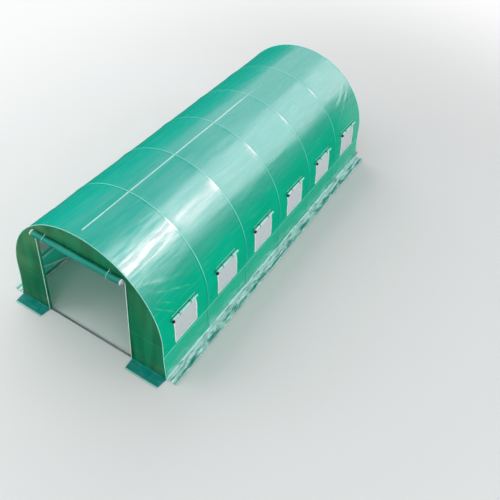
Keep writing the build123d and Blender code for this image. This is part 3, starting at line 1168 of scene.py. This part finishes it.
def side_skirt(side, seed):
    bm = mapped_grid(spaced([-film_end, film_end], [620]),
                     spaced([0.0, hem_rise, hem_rise + skirt_edge - half_width], [4, 22]))
    for vert in bm.verts:
        y, t = vert.co.xy
        s = hem_rise - t if side > 0 else 2 * arch_length - hem_rise + t
        if t < hem_rise:
            x = half_width + film_sag(y, s) + hem_lift
            z = hem_rise - t
        else:
            foot = half_width + flare(0.0) + hem_lift
            share = (t - hem_rise) / (skirt_edge - half_width)
            edge = bumps(edge_wander, y * 2.3, 0.0, seed)
            x = foot + share * (skirt_edge + past_edge + edge - foot)
            z = ground_gap + crumple(y, t, seed, side_crumple) * eased(share, 0.0, 0.2)
        vert.co = (side * x, y, z)
    return bm


for side, name in both_sides:
    piece = finish_piece(f"{name}_skirt_film", side_skirt(side, 20.0 + side), skirt_material,
                         [f"{name}_skirt"])
    add_thickness(piece, skirt_thick)

# %% [markdown]
# Beside each door a shorter skirt lies flatter. It is a little narrower at its outer
# edge than at the wall, and at the open end it follows the leaning edge of the wall.

# %% Skirts beside the doors
end_crumple = 0.007
skirt_taper = 0.05
wall_clearance = 0.004


def end_skirt(side, end, seed):
    reach = end_skirt_edge - wall_face
    bm = mapped_grid(spaced([door_half + wall_clearance, half_width - wall_clearance], [44]),
                     spaced([0.0, hem_rise, hem_rise + reach], [4, 18]))
    for vert in bm.verts:
        x, t = vert.co.xy
        z = max(hem_rise - t, 0.0)
        share = max(t - hem_rise, 0.0) / reach
        beside = (x - door_half) / (wall_edge - door_half)
        y = wall_face + wall_clearance + share * (reach - 2 * wall_clearance)
        if share > 0:
            z = ground_gap + crumple(x, t, seed, end_crumple) * eased(share, 0.0, 0.25)
        x += beside * flare(0.0) - (beside - 0.5) * skirt_taper * share
        lean = open_edge_lean * (1 - beside) if end < 0 else 0.0
        vert.co = (side * x - lean, end * y, z)
    return bm


for end, end_name in both_ends:
    for side, side_name in both_sides:
        bm = end_skirt(side, end, 31.0 + 2 * end + side)
        replaced = [f"{end_name}_skirts"] if side == 1 else []
        piece = finish_piece(f"{end_name}_{side_name}_skirt_film", bm, front_skirt_material,
                             replaced)
        add_thickness(piece, skirt_thick)

# %% [markdown]
# A tube could be a curve with a round profile. Here it is a ring of points that is
# extruded along straight stretches and spun round the arch, so that its rings can later
# be squashed flat where a real tube is pressed.

# %% Helpers for tubes
ring_sides = 18


def ring(bm, at, direction, radius):
    """A circle of edges at a place, square to a direction."""
    turn = Vector(direction).to_track_quat("Z", "Y").to_matrix().to_4x4()
    made = bmesh.ops.create_circle(bm, segments=ring_sides, radius=radius,
                                   matrix=Matrix.Translation(Vector(at)) @ turn)
    return [e for e in bm.edges if all(v in set(made["verts"]) for v in e.verts)]


def push(bm, edges, vec):
    """Extrude a ring of edges and move the new ring."""
    made = bmesh.ops.extrude_edge_only(bm, edges=edges)["geom"]
    verts = [g for g in made if isinstance(g, bmesh.types.BMVert)]
    bmesh.ops.translate(bm, verts=verts, vec=vec)
    return [g for g in made if isinstance(g, bmesh.types.BMEdge)
            and all(v in verts for v in g.verts)], verts


def straight_tube(bm, start, end, radius):
    run = Vector(end) - Vector(start)
    matrix = Matrix.Translation((Vector(start) + Vector(end)) / 2)
    matrix = matrix @ run.to_track_quat("Z", "Y").to_matrix().to_4x4()
    bmesh.ops.create_cone(bm, cap_ends=True, segments=ring_sides, radius1=radius,
                          radius2=radius, depth=run.length, matrix=matrix)


def arch_tube(bm, y, radius, start, end, steps):
    """A tube along part of the arch, with angles in degrees up from the right side."""
    a = math.radians(start)
    at = (hoop_r * math.cos(a), y, leg + hoop_r * math.sin(a))
    edges = ring(bm, at, (-math.sin(a), 0, math.cos(a)), radius)
    bmesh.ops.spin(bm, geom=edges, cent=(0, y, leg), axis=(0, -1, 0),
                   angle=math.radians(end - start), steps=steps, use_duplicate=False)


def tube_piece(name, node, material, *tubes):
    """A piece of straight tubes. Each one is its start, its end and its radius."""
    bm = bmesh.new()
    for start, end, radius in tubes:
        straight_tube(bm, start, end, radius)
    finish_piece(name, bm, material, [node])


print("a tube has", ring_sides, "sides")

# %% [markdown]
# A hoop is bent from sections that push into each other: a leg on each side and three
# pieces of the arch. The wider end of each section shows as a short socket.

# %% Hoops
socket_length = 0.06
arch_steps = 72
arch_joints = (60, 120)


def hoop_mesh(y):
    bm = bmesh.new()
    edges = ring(bm, (hoop_r, y, 0.0), (0, 0, 1), tube_r)
    bmesh.ops.contextual_create(bm, geom=edges)
    top, _ = push(bm, edges, (0, 0, leg))
    spun = bmesh.ops.spin(bm, geom=top, cent=(0, y, leg), axis=(0, -1, 0), angle=math.pi,
                          steps=arch_steps, use_duplicate=False)["geom_last"]
    last = [g for g in spun if isinstance(g, bmesh.types.BMEdge)]
    foot, _ = push(bm, last, (0, 0, -leg))
    bmesh.ops.contextual_create(bm, geom=foot)
    for side in (1, -1):
        straight_tube(bm, (side * hoop_r, y, leg - socket_length), (side * hoop_r, y, leg), socket_r)
    half_socket = math.degrees(socket_length / 2 / hoop_r)
    for angle in arch_joints:
        arch_tube(bm, y, socket_r, angle - half_socket, angle + half_socket, 4)
    return bm


for name, y in zip(hoop_names, hoop_y):
    finish_piece(f"{name}_tube", hoop_mesh(y), tube_material, [name])

# %% [markdown]
# The rails and braces are tubes with their ends pressed flat and drilled. The ring is
# squashed wide and thin at each end and eases back to round. At a hoop the flat ends
# lap in layers, each at its own depth under the hoop's inner face.

# %% Shape of a pressed tube
tab_thick = 0.0024
tab_half = math.pi * tube_r / 2
seat = 0.0003
tab_depths = [seat + i * (tab_thick + seat) for i in range(3)]


def pressed_end(depth, axis_height):
    """Stations along a pressed end: place along, half width, half height and height."""
    flat_height = -depth - tab_thick / 2
    eased_height = flat_height * 0.6 + axis_height * 0.4
    return [
        (-0.013, 0.35 * tab_half, tab_thick / 2, flat_height),
        (-0.009, 0.72 * tab_half, tab_thick / 2, flat_height),
        (0.0, 0.98 * tab_half, tab_thick / 2, flat_height),
        (0.026, tab_half, tab_thick / 2, flat_height),
        (0.036, 0.93 * tab_half, tube_r * 0.36, eased_height),
        (0.048, 0.74 * tab_half, tube_r * 0.8, axis_height),
        (0.06, tube_r, tube_r, axis_height),
    ]


def pressed_tube(bm, matrix, length, start_depth, end_depth, axis_height):
    """A tube along local X. Local Z faces out through the film, from the hoops' inner face."""
    stations = pressed_end(start_depth, axis_height)
    far_end = reversed(pressed_end(end_depth, axis_height))
    stations += [(length - x, wide, high, at) for x, wide, high, at in far_end]
    edges = ring(bm, (0, 0, 0), (1, 0, 0), 1.0)
    verts = list({v for e in edges for v in e.verts})
    shape = {v: v.co.copy() for v in verts}
    for number, (x, wide, high, at) in enumerate(stations):
        if number:
            edges, verts = push(bm, edges, (0, 0, 0))
            shape = {n: shape[o] for n in verts for o in shape
                     if any(e.other_vert(n) == o for e in n.link_edges)}
        for v in verts:
            c = shape[v]
            v.co = matrix @ Vector((x, c.y * wide, c.z * high + at))
        if number in (0, len(stations) - 1):
            bmesh.ops.contextual_create(bm, geom=edges)


def rail_matrix(start, along, outward):
    side = outward.cross(along)
    turn = Matrix((along, side, outward)).transposed().to_4x4()
    return Matrix.Translation(start) @ turn


print("pressed ends", round(2 * tab_half, 4), "wide and", tab_thick, "thick")

# %% [markdown]
# Rails run along the ridge, both shoulders of the legs and both feet, one tube a bay.
# In each end bay a brace slants from the rail at the end hoop to the next hoop's foot.

# %% Rails and braces
rail_axis = tube_r - tab_depths[0] - tab_thick
along_y = Vector((0, 1, 0))
rail_lines = {
    "ridge_rail": [(Vector((0, 0, leg + hoop_inner)), Vector((0, 0, 1)))],
    "right_side_rail": [(Vector((hoop_inner, 0, rail_height)), Vector((1, 0, 0)))],
    "left_side_rail": [(Vector((-hoop_inner, 0, rail_height)), Vector((-1, 0, 0)))],
    "base_rails": [(Vector((side * hoop_inner, 0, base_height)), Vector((side, 0, 0)))
                   for side in (1, -1)],
}
for name, lines in rail_lines.items():
    bm = bmesh.new()
    for origin, outward in lines:
        for y in hoop_y[:-1]:
            matrix = rail_matrix(origin + Vector((0, y, 0)), along_y, outward)
            pressed_tube(bm, matrix, bay, tab_depths[0], tab_depths[1], rail_axis)
    finish_piece(f"{name}_tubes", bm, tube_material, [name])

bm = bmesh.new()
brace_drop = rail_height - base_height
for side in (1, -1):
    for end, depth in ((-1, tab_depths[1]), (1, tab_depths[2])):
        run = Vector((0, -end * bay, -brace_drop))
        start = Vector((side * hoop_inner, end * half_length, rail_height))
        matrix = rail_matrix(start, run.normalized(), Vector((side, 0, 0)))
        pressed_tube(bm, matrix, run.length, depth, tab_depths[2], -tab_depths[2] - tube_r)
finish_piece("corner_brace_tubes", bm, tube_material, ["corner_braces"])

# %% [markdown]
# A bolt goes through the lapped ends at each hoop, with a round nut that has two flat
# wings to turn it by hand. At this size plain rods and thin blocks are enough.

# %% Bolts with wing nuts
bolt_r = 0.004
bolt_end = 0.016
bolt_head = 0.0002
nut_near = 0.0035
nut_far = 0.011
wing = 0.013
wing_depth = 0.012
bm = bmesh.new()
bolt_rows = [line for lines in rail_lines.values() for line in lines]
for origin, outward in bolt_rows:
    for y in hoop_y:
        at = origin + Vector((0, y, 0))
        under_tabs = at - outward * tab_depths[2]
        tip = at - outward * (tab_depths[2] + bolt_end)
        straight_tube(bm, at - outward * bolt_head, tip, bolt_r)
        straight_tube(bm, under_tabs - outward * nut_near, under_tabs - outward * nut_far,
                      bolt_r * 2)
        across_bolt = outward.cross(along_y)
        for way in (1, -1):
            turned = rail_matrix(under_tabs - outward * wing_depth + across_bolt * (way * wing),
                                 across_bolt, outward)
            shape = turned @ Matrix.Diagonal((wing, tab_thick, wing_depth, 1.0))
            bmesh.ops.create_cube(bm, size=1.0, matrix=shape)
finish_piece("rail_bolts", bm, tube_material, smooth=False)

# %% [markdown]
# The door frames are straight tubes: two posts up to the end hoop, a lintel between
# them and a sill on the ground in two halves that meet in a sleeve. The front posts
# lean a little at their feet, as the loose wall edges there do.

# %% Door frames
post_top = leg + math.sqrt(hoop_r ** 2 - post_x ** 2)
sleeve_half = 0.03
sleeve_wall = 0.0014
for end, name in both_ends:
    y = end * half_length
    lean = open_edge_lean if end < 0 else 0.0
    sill_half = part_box(f"{name}_sill")[1][0]
    tube_piece(f"{name}_post_tubes", f"{name}_door_posts", tube_material,
               *[((side * post_x - lean, y, 2 * tube_r), (side * post_x, y, post_top), tube_r)
                 for side in (1, -1)])
    tube_piece(f"{name}_lintel_tube", f"{name}_lintel", tube_material,
               ((-post_x, y, lintel_z), (post_x, y, lintel_z), tube_r))
    tube_piece(f"{name}_sill_tube", f"{name}_sill", sill_material,
               ((-sill_half, y, tube_r), (sill_half, y, tube_r), tube_r),
               ((-sleeve_half, y, tube_r), (sleeve_half, y, tube_r), tube_r + sleeve_wall))

# %% [markdown]
# A window is a fine net in the hole in the film, with a narrow welded border that is
# wider at the foot. A thin weld line above it holds the top of the flap. They all follow
# the same outline as the film, a little outside it.

# %% Shapes of a net, a border and a weld line
window_middles = [y + bay / 2 for y in hoop_y[:-1]]
net_sag = 0.004
net_lift = 0.0006
border_lift = 0.0022
border_thick = 0.0016
top_border = 0.004
side_border = 0.015
overlap = 0.004
weld_height = 0.985
weld_wide = 0.009
weld_half = 0.25


def lay_on_outline(bm, side, lift):
    """Move flat points, with their place along and up the film, on to one side of it."""
    for vert in bm.verts:
        y, s, rise = vert.co
        x, z, out_x, out_z = on_outline(s)
        off = film_sag(y, s if side > 0 else 2 * arch_length - s) + lift + rise
        vert.co = (side * (x + out_x * off), y, z + out_z * off)


def window_net(y):
    """A net that hangs in a little at its middle."""
    net = mapped_grid(spaced([y - window_half, y + window_half], [16]),
                      spaced([window_bottom, window_top], [14]))
    for vert in net.verts:
        inside = 1 - ((vert.co.x - y) / window_half) ** 2
        vert.co.z = -net_sag * max(inside, 0.0)
    return net


def window_border(y):
    """A flat frame that laps over the edge of the net."""
    low, high = y - window_half, y + window_half
    columns = [low - side_border, low + overlap, high - overlap, high + side_border]
    rows = [window_bottom - screen_border, window_bottom + overlap, window_top - overlap,
            window_top + top_border]
    border = mapped_grid(spaced(columns, [2, 16, 2]), spaced(rows, [2, 14, 2]))
    middles = {face: face.calc_center_median() for face in border.faces}
    hole = [face for face, at in middles.items() if abs(at.x - y) < window_half - overlap
            and window_bottom + overlap < at.y < window_top - overlap]
    bmesh.ops.delete(border, geom=hole, context="FACES")
    return border


def weld_line(y):
    return mapped_grid(spaced([y - weld_half, y + weld_half], [20]),
                       spaced([weld_height, weld_height + weld_wide], [2]))


print("weld lines", weld_wide, "m wide")

# %% [markdown]
# The six windows in a side are made alike, so one mesh takes all their nets, one their
# borders and one their weld lines. The border and the weld line get a real thickness,
# so that they stand up from the film.

# %% Windows on both sides
def for_windows(shape, side, lift):
    """One mesh with a shape for each window of a side."""
    bm = bmesh.new()
    for y in window_middles:
        join_to(bm, shape(y))
    lay_on_outline(bm, side, lift)
    return bm


for side, name in both_sides:
    piece = finish_piece(f"{name}_window_nets", for_windows(window_net, side, net_lift),
                         net_material, [f"{name}_window_screens"])
    2 * side_windows * window_half
    for part, shape, material in (("borders", window_border, trim_material),
                                  ("welds", weld_line, weld_material)):
        trim = finish_piece(f"{name}_window_{part}", for_windows(shape, side, border_lift),
                            material)
        add_thickness(trim, border_thick)

# %% [markdown]
# A rolled flap or door is the real sheet wound into a spiral, so its ends show the
# turns. It is a flat grid whose rows are wrapped round a line, a little further out each
# turn, which also keeps the sheet's own flat size for its pattern.

# %% Helpers for rolls and ties
def wound_sheet(bm, start, end, inner, outer, turns, steps, lengths, wobble=0.0, seed=0.0,
                droop=0.0):
    """A sheet wound in a spiral round the line from start to end."""
    start, end = Vector(start), Vector(end)
    run = (end - start).normalized()
    up = Vector((0, 0, 1))
    side = run.cross(up).normalized()
    total = turns * steps
    grid = mapped_grid(range(total + 1), range(lengths + 1))
    uv = grid.loops.layers.uv["flat"]
    angle_step = 2 * math.pi / steps
    spacing = (outer - inner) / total
    for face in grid.faces:
        for loop in face.loops:
            i, j = loop.vert.co.x, loop.vert.co.y
            radius = inner + spacing * i
            loop[uv].uv = (j / lengths * (end - start).length, i * angle_step * radius)
    for vert in grid.verts:
        i, j = vert.co.x, vert.co.y
        t = j / lengths
        place = start.lerp(end, t) - up * (droop * t * t)
        angle = angle_step * i + seed
        swell = bumps(wobble, t * 5.0, 1.6 * math.cos(angle), 1.6 * math.sin(angle) + seed * 9.0)
        radius = (inner + spacing * i) * (1 + swell)
        vert.co = place + side * (math.cos(angle) * radius) + up * (math.sin(angle) * radius)
    join_to(bm, grid)


def tie_loop(bm, at, across, radius, thick):
    """A cord once round a roll: a small ring spun round the roll's own line."""
    edges = ring(bm, Vector(at) + Vector((0, 0, radius)), Vector(across).cross((0, 0, 1)), thick)
    bmesh.ops.spin(bm, geom=edges, cent=at, axis=across, angle=2 * math.pi, steps=28,
                   use_merge=True, use_duplicate=False)


def rounded_bar(bm, start, end, radius):
    """A short bar with rounded ends."""
    before = set(bm.edges)
    straight_tube(bm, start, end, radius)
    rims = [e for e in bm.edges if e not in before and any(len(f.verts) > 4 for f in e.link_faces)]
    bmesh.ops.bevel(bm, geom=rims, affect="EDGES", offset=radius * 0.4, segments=2,
                    profile=0.5, material=-1)


cord_r = 0.0034
print("cords", 2 * cord_r, "thick")

# %% [markdown]
# Each window flap is rolled up above its window and droops a little at its free end.
# Two small dark ties hold it, with a black toggle at the end nearest the door.

# %% Window flap rolls, ties and toggles
roll_turns = 7
roll_core = 0.004
roll_skin = 0.0015
roll_gap = 0.001
roll_droop = 0.014
roll_wobble = 0.16
tie_places = (-0.5, 0.42)
tie_gap = 0.002
toggle_r = 0.0195
toggle_out = 0.014
toggle_drop = 0.012
toggle_before = 0.030
toggle_after = 0.012
for side, name in both_sides:
    low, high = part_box(f"{name}_window_rolls")
    roll_z = (low[2] + high[2]) / 2
    roll_r = (high[0] - low[0]) / 2 - roll_skin
    roll_x = (low[0] + high[0]) / 2
    roll_half = (high[1] - low[1] - (len(hoop_y) - 2) * bay) / 2
    rolls = bmesh.new()
    ties = bmesh.new()
    toggles = bmesh.new()
    for number, y in enumerate(window_middles):
        wound_sheet(rolls, (roll_x, y - roll_half, roll_z), (roll_x, y + roll_half, roll_z),
                    roll_core, roll_r - roll_gap, roll_turns, steps=14, lengths=14,
                    wobble=roll_wobble, seed=number * 1.7, droop=roll_droop)
        for share in tie_places:
            lower = roll_droop * ((share + 1) / 2) ** 2
            tie_loop(ties, (roll_x, y + share * roll_half, roll_z - lower), (0, 1, 0),
                     roll_r + tie_gap, cord_r)
        front = Vector((roll_x + side * toggle_out, y - roll_half, roll_z - toggle_drop))
        rounded_bar(toggles, front - along_y * toggle_before, front + along_y * toggle_after,
                    toggle_r)
    piece = finish_piece(f"{name}_flap_rolls", rolls, flap_material,
                         [f"{name}_window_rolls"])
    2 * side_windows * roll_half
    finish_piece(f"{name}_flap_ties", ties, toggle_material)
    finish_piece(f"{name}_flap_toggles", toggles, toggle_material)

# %% [markdown]
# The front door is one sheet wound up over the doorway and held by two thin cords that
# hang from the wall above it.

# %% Front door roll and its cords
door_turns = 8
core_r = 0.010
cord_rise = 0.035
cord_start = 0.004
cord_end = 0.006
tie_width = 0.016
low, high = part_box("front_door_roll")
roll_y, roll_z = (low[1] + high[1]) / 2, (low[2] + high[2]) / 2
roll_r = (high[2] - low[2]) / 2
bm = bmesh.new()
wound_sheet(bm, (low[0], roll_y, roll_z), (high[0], roll_y, roll_z), core_r,
            roll_r - 2 * roll_gap, door_turns, steps=28, lengths=70, wobble=0.14, seed=2.0)
door_roll = finish_piece("front_door_film", bm, door_material, ["front_door_roll"])

tie_low, tie_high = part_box("front_door_ties")
tie_half = (tie_high[0] - tie_low[0] - tie_width) / 2
bm = bmesh.new()
for side in (1, -1):
    at = (side * tie_half, roll_y, roll_z)
    tie_loop(bm, at, (1, 0, 0), roll_r + cord_r, cord_r)
    straight_tube(bm, (side * tie_half, roll_y + cord_start, roll_z + roll_r + cord_start),
                  (side * tie_half, -wall_face - cord_end, roll_z + roll_r + cord_rise), cord_r)
finish_piece("front_door_tie_cords", bm, welt_material, ["front_door_ties"])

# %% [markdown]
# The zips that close the doors run up both sides of each doorway, and at the open end
# they lean with the loose edge of the wall. The teeth are too fine to see, so each zip
# is a narrow woven strip with a thin wave.

# %% Zip lines
zip_width = 0.011
zip_lap = 0.002
zip_out = 0.005
zip_wave = 0.002
zip_foot = 0.004
for end, name in both_ends:
    bm = bmesh.new()
    for side in (1, -1):
        grid = mapped_grid(spaced([-zip_width / 2, zip_width / 2], [2]),
                           spaced([zip_foot, door_top - zip_lap], [40]))
        for vert in grid.verts:
            across, z = vert.co.xy
            lean = open_edge_lean * (1 - z / door_top) if end < 0 else 0.0
            wave = bumps(zip_wave, side * 3.0, end * 2.0, z * 3.0)
            x = side * (door_half + zip_width / 2 - zip_lap) + across - lean
            vert.co = (x, end * (wall_face + zip_out + wave), z)
        join_to(bm, grid)
    piece = finish_piece(f"{name}_zip_lines", bm, zip_material,
                         [f"{name}_zip_tapes"])
    add_thickness(piece, zip_lap)

# %% [markdown]
# A thin round welt runs along the edge of the cover at both ends, where it is sewn to
# the end wall. It is a small ring that climbs the flared foot and is spun over the arch.

# %% Edge welts
welt_r = 0.0048
welt_inset = 0.002
welt_steps = 48
same_place = 0.0002
welt_levels = [0.006, 0.05, 0.1, 0.16, 0.23, 0.31, 0.4, leg]
for end, name in both_ends:
    y = end * (film_end - welt_inset)
    bm = bmesh.new()
    half = bmesh.new()
    edges = ring(half, (half_width + flare(welt_levels[0]), y, welt_levels[0]), (0, 0, 1), welt_r)
    bmesh.ops.contextual_create(half, geom=edges)
    for low_z, high_z in zip(welt_levels, welt_levels[1:]):
        edges, _ = push(half, edges, (flare(high_z) - flare(low_z), 0, high_z - low_z))
    bmesh.ops.spin(half, geom=edges, cent=(0, y, leg), axis=(0, -1, 0), angle=math.pi / 2,
                   steps=welt_steps, use_duplicate=False)
    other = half.copy()
    bmesh.ops.scale(other, verts=other.verts, vec=(-1, 1, 1))
    bmesh.ops.reverse_faces(other, faces=other.faces)
    join_to(bm, half)
    join_to(bm, other)
    bmesh.ops.remove_doubles(bm, verts=bm.verts, dist=same_place)
    finish_piece(f"{name}_welt", bm, welt_material)

# %% [markdown]
# The last cell prints the size of the finished model, so that it can be compared with
# the frame.

# %% Print the size of the model
low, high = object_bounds()
print("visual", [round(v, 3) for v in low], [round(v, 3) for v in high])
